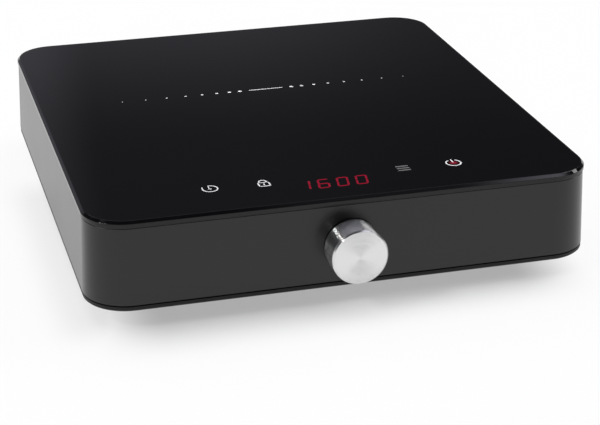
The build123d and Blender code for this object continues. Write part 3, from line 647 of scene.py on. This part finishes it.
def build_piece(name, grids, material, smooth=False):
    """One mesh from grids of points, each a run of closed loops."""
    points = []
    faces = []
    count = 0
    for grid in grids:
        rows, columns = grid.shape[:2]
        points.append(grid.reshape(-1, 3))
        faces.append(grid_faces(rows, columns) + count)
        count += rows * columns
    mesh = bpy.data.meshes.new(name)
    mesh.from_pydata(np.concatenate(points), [], np.concatenate(faces).tolist())
    clean_mesh(mesh)
    mesh.polygons.foreach_set("use_smooth", [smooth] * len(mesh.polygons))
    mesh.materials.append(material)
    piece = bpy.data.objects.new(name, mesh)
    bpy.context.scene.collection.objects.link(piece)
    return piece


def clean_mesh(mesh):
    """Merges the points that meet at poles and ends, and turns the faces outwards."""
    work = bmesh.new()
    work.from_mesh(mesh)
    bmesh.ops.remove_doubles(work, verts=work.verts, dist=1e-7)
    bmesh.ops.dissolve_degenerate(work, edges=work.edges, dist=1e-8)
    bmesh.ops.recalc_face_normals(work, faces=work.faces)
    work.to_mesh(mesh)
    work.free()


def arc(middle, radius, start, end, count=33):
    """Points on a circle from one angle to another, in degrees counted anticlockwise from +X."""
    angle = np.radians(np.linspace(start, end, count))
    return np.stack([middle[0] + radius * np.cos(angle), middle[1] + radius * np.sin(angle)], -1)


def bar(start, end):
    """Two points of a straight line."""
    return np.array([start, end], float)


def stroke(line, width, height, base):
    """A printed line. A flat-topped profile is carried along the path: its corners lie half the width
    to each side of the path, at the base and one height above it. At both ends the path runs on by
    half the width while the width shrinks along a quarter circle, which makes round, closed ends."""
    half = width / 2
    turn = np.linspace(0.0, np.pi / 2, end_points)[:, None]
    first = (line[0] - line[1]) / np.linalg.norm(line[0] - line[1])
    last = (line[-1] - line[-2]) / np.linalg.norm(line[-1] - line[-2])
    head = line[0] + np.cos(turn) * half * first
    tail = (line[-1] + np.cos(turn) * half * last)[::-1]
    path = np.concatenate([head, line[1:-1], tail])
    swell = np.concatenate([np.sin(turn), np.ones((len(line) - 2, 1)), np.sin(turn)[::-1]]) * half
    tangent = np.gradient(path, axis=0)
    tangent[0] = -first
    tangent[-1] = last
    tangent /= np.linalg.norm(tangent, axis=1)[:, None]
    normal = np.stack([-tangent[:, 1], tangent[:, 0]], -1)
    across = np.array([-1.0, -flat_share, flat_share, 1.0])
    rise = np.array([0.0, 1.0, 1.0, 0.0])
    grid = np.empty((len(path), 4, 3))
    grid[..., :2] = path[:, None] + normal[:, None] * (swell * across)[..., None]
    grid[..., 2] = base + height * rise
    return grid


def dot(middle, radius, height, base, count=dot_points):
    """A printed dot: circles of four radii from the middle of the underside, round the edge, to the
    middle of the top."""
    reach = radius * np.array([0.0, 1.0, flat_share, 0.0])[:, None]
    level = base + height * np.array([0.0, 0.0, 1.0, 1.0])[:, None]
    return turned(middle, reach, level, count)


def turned(middle, radius, level, count):
    """A profile turned about an upright axis: each radius and its level, carried round a circle."""
    angle = np.linspace(0.0, 2 * np.pi, count, endpoint=False)
    grid = np.empty((len(radius), count, 3))
    grid[..., 0] = middle[0] + radius * np.cos(angle)
    grid[..., 1] = middle[1] + radius * np.sin(angle)
    grid[..., 2] = level
    return grid


def on_glass(marks, right, back):
    """Place on the glass, counted from the middle of the print."""
    return np.array([glass_middle.x + marks.side_shift + right, glass_middle.y + back])


def set_finish(material, *names):
    """Gives CAD nodes a finish."""
    for name in names:
        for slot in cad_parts[name].material_slots:
            slot.material = material


# Operators


class COOKTOP_OT_outside(bpy.types.Operator):
    """Finish the glass, housing, base tray, feet, knob and cord gland"""

    bl_idname = "cooktop.outside"
    bl_label = "Outside finishes"

    def execute(self, context):
        finish = context.scene.cooktop_finish
        set_finish(black_glass(finish), "glass_top")
        set_finish(satin_housing(finish), "body_shell", "rear_grille")
        set_finish(grained_tray(finish), "base_tray")
        set_finish(spun_aluminium(finish), "knob_cap")
        set_finish(matt_rubber("foot_rubber", grey(0.02)), "rubber_feet")
        set_finish(moulded_plastic("seal_silicone", grey(0.007), 0.3), "glass_seal")
        set_finish(moulded_plastic("gland_nylon", grey(0.014), 0.4), "cord_gland", "gland_nut")
        return {"FINISHED"}


class COOKTOP_OT_inside(bpy.types.Operator):
    """Finish the coil, boards, fan and other pieces inside the housing"""

    bl_idname = "cooktop.inside"
    bl_label = "Inside finishes"

    screws = ("bracket_screws", "control_screws", "coil_screws", "board_screws", "fan_screws")
    amber = (0.5, 0.33, 0.03, 1.0)

    # Each row holds a finish's name, colour and roughness, then the pieces that have it
    plastics = (
        ("fan_plastic", grey(0.016), 0.35, "fan_frame", "fan_rotor"),
        ("insert_plastic", grey(0.03), 0.45, "knob_insert"),
        ("bracket_plastic", grey(0.45), 0.45, "control_bracket"),
        ("former_plastic", grey(0.06), 0.5, "coil_former"),
        ("display_plastic", grey(0.03), 0.5, "display_module"),
        ("lamp_resin", (0.75, 0.72, 0.6, 1.0), 0.2, "key_lamps"),
        ("bead_resin", (0.4, 0.18, 0.05, 1.0), 0.25, "thermistor"),
        ("device_epoxy", grey(0.02), 0.5, "power_transistor", "bridge_rectifier"),
        ("film_case", amber, 0.3, "resonant_capacitor", "filter_capacitor", "transformer_bobbin"),
        ("can_sleeve", (0.01, 0.015, 0.06, 1.0), 0.25, "smoothing_capacitor"),
        ("varistor_epoxy", (0.02, 0.12, 0.4, 1.0), 0.3, "varistor"),
        ("block_plastic", grey(0.6), 0.45, "board_connector", "mains_block"),
        ("fuse_ceramic", grey(0.7), 0.2, "fuse"),
    )

    # The same for metals, with the axis that their marks lie across before the pieces
    metals = (
        ("screw_steel", grey(0.5, 0.02), 0.28, "Z", *screws),
        ("shaft_steel", grey(0.6), 0.25, "Y", "encoder_shaft"),
        ("fan_shaft_steel", grey(0.6), 0.25, "Z", "fan_shaft"),
        ("plated_steel", grey(0.62, 0.02), 0.2, "Y", "encoder_body", "encoder_washer", "encoder_nut"),
        ("key_spring_steel", grey(0.55), 0.3, "Z", "touch_pads"),
        ("extruded_aluminium", grey(0.66), 0.35, "X", "heat_sink"),
        ("terminal_brass", (0.7, 0.5, 0.2, 1.0), 0.3, "Z", "coil_terminals"),
        ("bearing_bronze", (0.45, 0.27, 0.12, 1.0), 0.45, "Z", "fan_bearing"),
    )

    def execute(self, context):
        set_finish(circuit_laminate(), "power_board", "control_board")
        set_finish(wound_copper(), "coil_winding", "choke_winding")
        set_finish(pressed_mica(), "mica_sheet")
        set_finish(sintered_ferrite(), "ferrite_bars", "choke_core", "transformer_core")
        for name, colour, roughness, *pieces in self.plastics:
            set_finish(moulded_plastic(name, colour, roughness), *pieces)
        for name, colour, roughness, axis, *pieces in self.metals:
            set_finish(drawn_metal(name, colour, roughness, axis), *pieces)
        set_finish(matt_rubber("plug_rubber", grey(0.5)), "thermistor_plug")
        set_finish(matt_rubber("lead_sleeve", (0.6, 0.56, 0.45, 1.0)), "coil_leads", "control_lead")
        return {"FINISHED"}


class COOKTOP_OT_zone_marks(bpy.types.Operator):
    """Print the row of dots and the middle bar that mark the cooking zone"""

    bl_idname = "cooktop.zone_marks"
    bl_label = "Zone marks"

    def execute(self, context):
        marks = context.scene.cooktop_marks
        order = np.arange(marks.dots)
        reach = marks.dot_start + marks.dot_step * order + marks.dot_growth * order * (order - 1) / 2
        radii = np.linspace(marks.dot_inner, marks.dot_outer, marks.dots)
        grids = []
        for side in (-1, 1):
            for place, radius in zip(reach, radii):
                middle = on_glass(marks, side * place, marks.row_back)
                grids.append(dot(middle, radius, marks.ink_height, glass_face))
        ink = printed_ink("white_ink", marks.ink_colour)
        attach(build_piece("zone_dots", grids, ink), "housing")
        half = (marks.bar_length - marks.bar_width) / 2
        line = bar(on_glass(marks, -half, marks.row_back), on_glass(marks, half, marks.row_back))
        grids = [stroke(line, marks.bar_width, marks.ink_height, glass_face)]
        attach(build_piece("zone_bar", grids, ink), "housing")
        return {"FINISHED"}


class COOKTOP_OT_key_symbols(bpy.types.Operator):
    """Print the timer, lock, menu and power symbols on the touch keys"""

    bl_idname = "cooktop.key_symbols"
    bl_label = "Key symbols"

    def execute(self, context):
        marks = context.scene.cooktop_marks
        white = bpy.data.materials["white_ink"]
        faint = printed_ink("grey_ink", marks.faint_colour)
        symbols = (
            ("timer_symbol", self.timer_lines, -marks.key_outer, white),
            ("lock_symbol", self.lock_lines, -marks.key_inner, white),
            ("menu_symbol", self.menu_lines, marks.key_inner, faint),
            ("power_symbol", self.power_lines, marks.key_outer, white),
        )
        for name, symbol_lines, right, ink in symbols:
            lines = symbol_lines(marks, on_glass(marks, right, -marks.keys_front))
            grids = [stroke(line, width, marks.ink_height, glass_face) for line, width in lines]
            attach(build_piece(name, grids, ink), "housing")
        return {"FINISHED"}

    def timer_lines(self, marks, middle):
        """A ring open at the upper left. One end turns in to the hub of a clock hand, the other up."""
        radius = marks.key_radius
        thin = marks.line_width * 0.85
        ring = arc(middle, radius, start=-192, end=94)
        hub = middle + (-radius * 0.12, -radius * 0.1)
        upturn = (radius * 0.04, radius * 0.35)
        hand = (radius * 0.2, 0.0)
        return [
            (ring, thin),
            (bar(ring[0], ring[0] + upturn), thin),
            (bar(ring[-1], hub), thin * 0.7),
            (bar(hub, hub + hand), thin * 1.5),
        ]

    def lock_lines(self, marks, middle):
        """A square body drawn as an outline, a round shackle above it and a keyhole."""
        wide = marks.key_radius * 0.72
        low = -marks.key_radius * 1.05
        high = marks.key_radius * 0.18
        bow = wide * 0.68
        spring = marks.key_radius * 0.45
        thin = marks.line_width * 0.9
        half_ring = arc(middle + (0, spring), bow, start=0, end=180)
        shackle = np.concatenate([[middle + (bow, high)], half_ring, [middle + (-bow, high)]])
        keyhole = bar(middle + (0, low * 0.55), middle + (0, low * 0.25))
        level_sides = [bar(middle + (-wide, level), middle + (wide, level)) for level in (low, high)]
        upright_sides = [bar(middle + (side, low), middle + (side, high)) for side in (-wide, wide)]
        return [(line, thin) for line in (*level_sides, *upright_sides, shackle, keyhole)]

    def menu_lines(self, marks, middle):
        """Three level bars, one above the other."""
        width = marks.line_width * 1.75
        half = marks.key_radius * 0.9 - width / 2
        step = marks.key_radius * 0.7
        levels = (-step, 0.0, step)
        return [(bar(middle + (-half, level), middle + (half, level)), width) for level in levels]

    def power_lines(self, marks, middle):
        """A ring open at the top, with a bar through the opening."""
        radius = marks.key_radius
        ring = arc(middle, radius, start=122, end=418)
        upright = bar(middle + (0, radius * 0.25), middle + (0, radius * 1.12))
        return [(ring, marks.line_width), (upright, marks.line_width)]


class COOKTOP_OT_display(bpy.types.Operator):
    """Light the figures of the display and the glow of the power key"""

    bl_idname = "cooktop.display"
    bl_label = "Lit display"

    # Segments that each figure lights: top, upper right, lower right, bottom, lower left,
    # upper left, middle
    lit = {
        "0": (0, 1, 2, 3, 4, 5),
        "1": (1, 2),
        "2": (0, 1, 6, 4, 3),
        "3": (0, 1, 6, 2, 3),
        "4": (5, 6, 1, 2),
        "5": (0, 5, 6, 2, 3),
        "6": (0, 5, 4, 3, 2, 6),
        "7": (0, 1, 2),
        "8": (0, 1, 2, 3, 4, 5, 6),
        "9": (0, 1, 2, 3, 5, 6),
    }

    def execute(self, context):
        display = context.scene.cooktop_display
        marks = context.scene.cooktop_marks
        segments = self.segment_lines(display)
        lean = np.array([[1.0, 0.0], [np.tan(display.slant), 1.0]])
        grids = []
        for number, figure in enumerate(display.figures):
            shift = (number - (len(display.figures) - 1) / 2) * display.pitch
            middle = on_glass(marks, display.row_side + shift, -display.row_front)
            for segment in self.lit[figure]:
                line = segments[segment] @ lean + middle
                grids.append(stroke(line, display.segment_width, marks.ink_height, glass_face))
        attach(build_piece("display_figures", grids, lit_segment(display)), "housing")
        self.light_power_key(display, marks)
        return {"FINISHED"}

    def segment_lines(self, display):
        """The seven segments of one figure, about its middle."""
        right = display.figure_width / 2
        top = display.figure_height / 2
        short = display.segment_gap / 2 + display.segment_width / 2
        level = bar((-right + short, 0.0), (right - short, 0.0))
        upright = bar((0.0, short), (0.0, top - short))
        return [
            level + (0, top),
            upright + (right, 0),
            upright + (right, -top),
            level + (0, -top),
            upright + (-right, -top),
            upright + (-right, 0),
            level,
        ]

    def light_power_key(self, display, marks):
        """A thin round patch, half as high as the ink."""
        middle = on_glass(marks, marks.key_outer, -marks.keys_front)
        grids = [dot(middle, display.glow_radius, marks.ink_height / 2, glass_face, count=48)]
        patch = build_piece("power_glow", grids, key_glow(display, (*middle, 0.0)))
        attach(patch, "housing")


class COOKTOP_OT_base_screws(bpy.types.Operator):
    """Put cross-recessed screws in the base tray"""

    bl_idname = "cooktop.base_screws"
    bl_label = "Base screws"

    face_rings = 15
    sides = 48
    dome_share = 0.25

    def execute(self, context):
        screws = context.scene.cooktop_screws
        middle_y = (screw_low.y + screw_high.y) / 2
        side_x = screw_high.x - screws.head_radius
        end_y = screw_high.y - screws.head_radius - middle_y
        grids = []
        for right in (-1, 1):
            for back in (-1, 1):
                grids.append(self.screw(screws, right * side_x, middle_y + back * screws.side_spread))
                grids.append(self.screw(screws, right * screws.end_spread, middle_y + back * end_y))
        steel = drawn_metal("base_screw_steel", grey(0.42, 0.02), 0.3)
        piece = build_piece("base_screw_set", grids, steel, smooth=True)
        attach(piece, "housing")
        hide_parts("base_screws")
        return {"FINISHED"}

    def screw(self, screws, x, y):
        """A profile turned about the screw's axis, from the middle of the head, over its domed face
        and edge, up the shank to its tip. The cross is sunk into the face by the recess depth
        wherever a point lies inside either arm."""
        reach = np.linspace(0.0, 1.0, self.face_rings)
        dome = self.dome_share * screws.head_height
        face_r = reach * screws.head_radius
        face_z = screw_low.z + dome * reach**4
        shank_r = np.array([screws.head_radius, screws.shank_radius, screws.shank_radius, 0.0])
        seat = screw_low.z + screws.head_height
        shank_z = np.array([seat, seat, screw_high.z, screw_high.z])
        radius = np.concatenate([face_r, shank_r])[:, None]
        level = np.concatenate([face_z, shank_z])[:, None]
        grid = turned((0.0, 0.0), radius, level, self.sides)
        arm = np.abs(grid[..., :2]).min(axis=-1) < screws.recess_width
        sunk = arm & (radius < screws.recess_radius) & (level < seat)
        grid[..., 2] += sunk * screws.recess_depth
        return grid + (x, y, 0.0)


class COOKTOP_OT_stage(bpy.types.Operator):
    """Set the camera, lamps, studio and floor"""

    bl_idname = "cooktop.stage"
    bl_label = "Stage"

    floor_rings = 8
    floor_sides = 96

    def execute(self, context):
        stage = context.scene.cooktop_stage
        self.set_camera(context.scene, stage)
        self.lay_floor(stage)
        self.light_studio(context.scene, stage)
        self.add_softbox(
            "overhead_softbox", stage.overhead_power, place=(0.0, 0.8, 1.6), size=(2.8, 2.0), glossy=False
        )
        self.add_softbox("left_softbox", stage.left_power, place=(-1.40, -0.36, 1.40), size=(0.6, 0.22))
        self.add_softbox("right_softbox", stage.right_power, place=(1.49, 0.33, 1.37), size=(1.1, 1.0))
        context.scene.view_settings.view_transform = "Standard"
        return {"FINISHED"}

    def set_camera(self, scene, stage):
        """Turns the view by yaw, pitch and roll, then backs away from the glass and slides."""
        turn = (
            Matrix.Rotation(-stage.yaw, 4, "Z")
            @ Matrix.Rotation(np.pi / 2 - stage.pitch, 4, "X")
            @ Matrix.Rotation(stage.roll, 4, "Z")
        )
        start = Vector((glass_middle.x, glass_middle.y, glass_face))
        slide = Vector((stage.slide_right, stage.slide_up, stage.distance))
        lens = bpy.data.cameras.new("camera")
        lens.lens = stage.lens
        lens.sensor_width = 36.0
        camera = bpy.data.objects.new("camera", lens)
        camera.matrix_world = Matrix.Translation(start + turn.to_3x3() @ slide) @ turn
        scene.collection.objects.link(camera)
        scene.camera = camera

    def lay_floor(self, stage):
        """A flat disc: rings of points from the middle outwards."""
        reach = np.linspace(0.0, stage.floor_radius, self.floor_rings)[:, None]
        grid = turned((0.0, 0.0), reach, 0.0, self.floor_sides)
        material, place = new_material("studio_floor")
        lit = principled(place, base_color=tuple(stage.floor_colour), roughness=0.16, ior=1.8)
        plain = place.node("ShaderNodeEmission", values={"Color": WHITE, "Strength": 1.0})
        share = self.seen_directly(place) * self.white_share(place, stage)
        close_material(place, place.node("ShaderNodeMixShader", values={0: share, 1: lit, 2: plain}))
        floor = build_piece("floor", [grid], material)

    def white_share(self, place, stage):
        """Less plain white in a soft patch under and in front of the cooktop, and in one at its left. In
        both, the floor's lit shading shows, with the cooktop's real shadow in front. The patches also darken
        the floor by their own shape: painted shade in front of and beside the cooktop.
        """
        right = axis_part(place, "X")
        back = axis_part(place, "Y")
        patch_middle = -0.002
        patch_skew = 0.05
        # Painted shade: the front patch sets how far and how dark the shadow in front reaches, and the left
        # patch darkens the floor beside the cooktop.
        near = ease(back - right * patch_skew, start=-0.200, end=-0.148) * ease(back, start=0.1, end=0.0)
        front_shade_patch = near * ease(abs(right - patch_middle), start=0.155, end=0.105)
        beside = window(right, rise=(-0.18, -0.155), fall=(-0.145, -0.12))
        left_shade_patch = beside * window(back, rise=(-0.18, -0.14), fall=(0.04, 0.09)) * stage.left_shade
        patch = place.math("MAXIMUM", front_shade_patch, left_shade_patch)
        return between(patch, stage.floor_white, stage.front_white)

    def seen_directly(self, place):
        """1 for rays from the eye and for those that gloss and glass send on, otherwise 0."""
        eye = place.node("ShaderNodeLightPath", output="Is Camera Ray")
        gloss = place.node("ShaderNodeLightPath", output="Is Glossy Ray")
        through = place.node("ShaderNodeLightPath", output="Is Transmission Ray")
        return place.math("MAXIMUM", place.math("MAXIMUM", eye, gloss), through)

    def light_studio(self, scene, stage):
        """A pale band round the horizon, under a dark ceiling with a few soft lights in it."""
        world = bpy.data.worlds.new("studio")
        world.use_nodes = True
        tree = world.node_tree
        tree.nodes.clear()
        start = tree.nodes.new("ShaderNodeTexCoord")
        place = Socket(tree, start.outputs["Generated"])
        height = ease(axis_part(place, "Z"), start=0.0, end=0.1)
        level = self.ceiling_level(place, stage)
        colour = mix_colour(height, grey(stage.sky_low), self.level_colour(level))
        light = place.node("ShaderNodeBackground", values={"Color": colour, "Strength": 1.0})
        output = tree.nodes.new("ShaderNodeOutputWorld")
        tree.links.new(light.output, output.inputs["Surface"])
        scene.world = world

    def ceiling_level(self, place, stage):
        """Brightness by direction. The parts of a direction say how far right, back and up it points,
        each from -1 to 1. The ceiling and the haze low in it are brighter at the left. The front of the
        knob's side mirrors the rear strip."""
        right = axis_part(place, "X")
        back = axis_part(place, "Y")
        up = axis_part(place, "Z")
        left = ease(right, start=0.36, end=0.2)
        ceiling = between(left, low=0.66, high=1.0) * stage.sky_high
        haze = ease(up, start=0.36, end=0.27) * between(left, low=0.03, high=0.10)
        zenith = ease(up, start=0.72, end=0.86) * ease(back, start=-0.12, end=0.08)
        glow = ease(right, start=0.14, end=0.1) * ease(back, start=0.7, end=0.8)
        front = window(back, rise=(-0.62, -0.5), fall=(-0.3, 0.0))
        strip = window(right, rise=(0.33, 0.39), fall=(0.4, 0.8)) * stage.front_strip
        fill = ease(right, start=0.21, end=0.26) * stage.front_fill
        behind = ease(back, start=0.35, end=0.5) * ease(right, start=0.5, end=0.4)
        rear = window(up, rise=(0.56, 0.62), fall=(0.72, 0.80)) * behind
        lights = zenith * stage.sky_top + glow * stage.left_glow + rear * stage.rear_strip
        return ceiling + haze + front * (strip + fill) + lights

    def level_colour(self, level):
        """Slightly blue grey of a level that varies."""
        blue_share = 1.12
        values = {"Red": level, "Green": level, "Blue": level * blue_share}
        return level.node("ShaderNodeCombineColor", values=values)

    def add_softbox(self, name, power, place, size, glossy=True):
        """A rectangular lamp that faces the cooktop. Glossy is whether polished surfaces show it."""
        lamp = bpy.data.lights.new(name, "AREA")
        lamp.shape = "RECTANGLE"
        lamp.size, lamp.size_y = size
        lamp.energy = power
        box = bpy.data.objects.new(name, lamp)
        box.visible_glossy = glossy
        cooktop_middle = Vector((0.0, 0.0, 0.03))
        turn = (cooktop_middle - Vector(place)).to_track_quat("-Z", "Y").to_matrix().to_4x4()
        box.matrix_world = Matrix.Translation(place) @ turn
        bpy.context.scene.collection.objects.link(box)


class COOKTOP_PT_panel(bpy.types.Panel):
    """Lists the steps that dress the cooktop"""

    bl_idname = "COOKTOP_PT_panel"
    bl_label = "Cooktop"
    bl_space_type = "VIEW_3D"
    bl_region_type = "UI"
    bl_category = "Cooktop"

    def draw(self, context):
        for step in steps:
            self.layout.operator(step.bl_idname)


settings = {
    "cooktop_marks": MarkSettings,
    "cooktop_display": DisplaySettings,
    "cooktop_finish": FinishSettings,
    "cooktop_screws": ScrewSettings,
    "cooktop_stage": StageSettings,
}
steps = (
    COOKTOP_OT_outside,
    COOKTOP_OT_inside,
    COOKTOP_OT_zone_marks,
    COOKTOP_OT_key_symbols,
    COOKTOP_OT_display,
    COOKTOP_OT_base_screws,
    COOKTOP_OT_stage,
)


def register():
    for name, group in settings.items():
        bpy.utils.register_class(group)
        setattr(bpy.types.Scene, name, bpy.props.PointerProperty(type=group))
    for step in steps:
        bpy.utils.register_class(step)
    bpy.utils.register_class(COOKTOP_PT_panel)


def unregister():
    bpy.utils.unregister_class(COOKTOP_PT_panel)
    for step in reversed(steps):
        bpy.utils.unregister_class(step)
    for name, group in settings.items():
        delattr(bpy.types.Scene, name)
        bpy.utils.unregister_class(group)


def main():
    register()
    bpy.ops.cooktop.outside()
    bpy.ops.cooktop.inside()
    bpy.ops.cooktop.zone_marks()
    bpy.ops.cooktop.key_symbols()
    bpy.ops.cooktop.display()
    bpy.ops.cooktop.base_screws()
    bpy.ops.cooktop.stage()


if __name__ == "__main__":
    main()
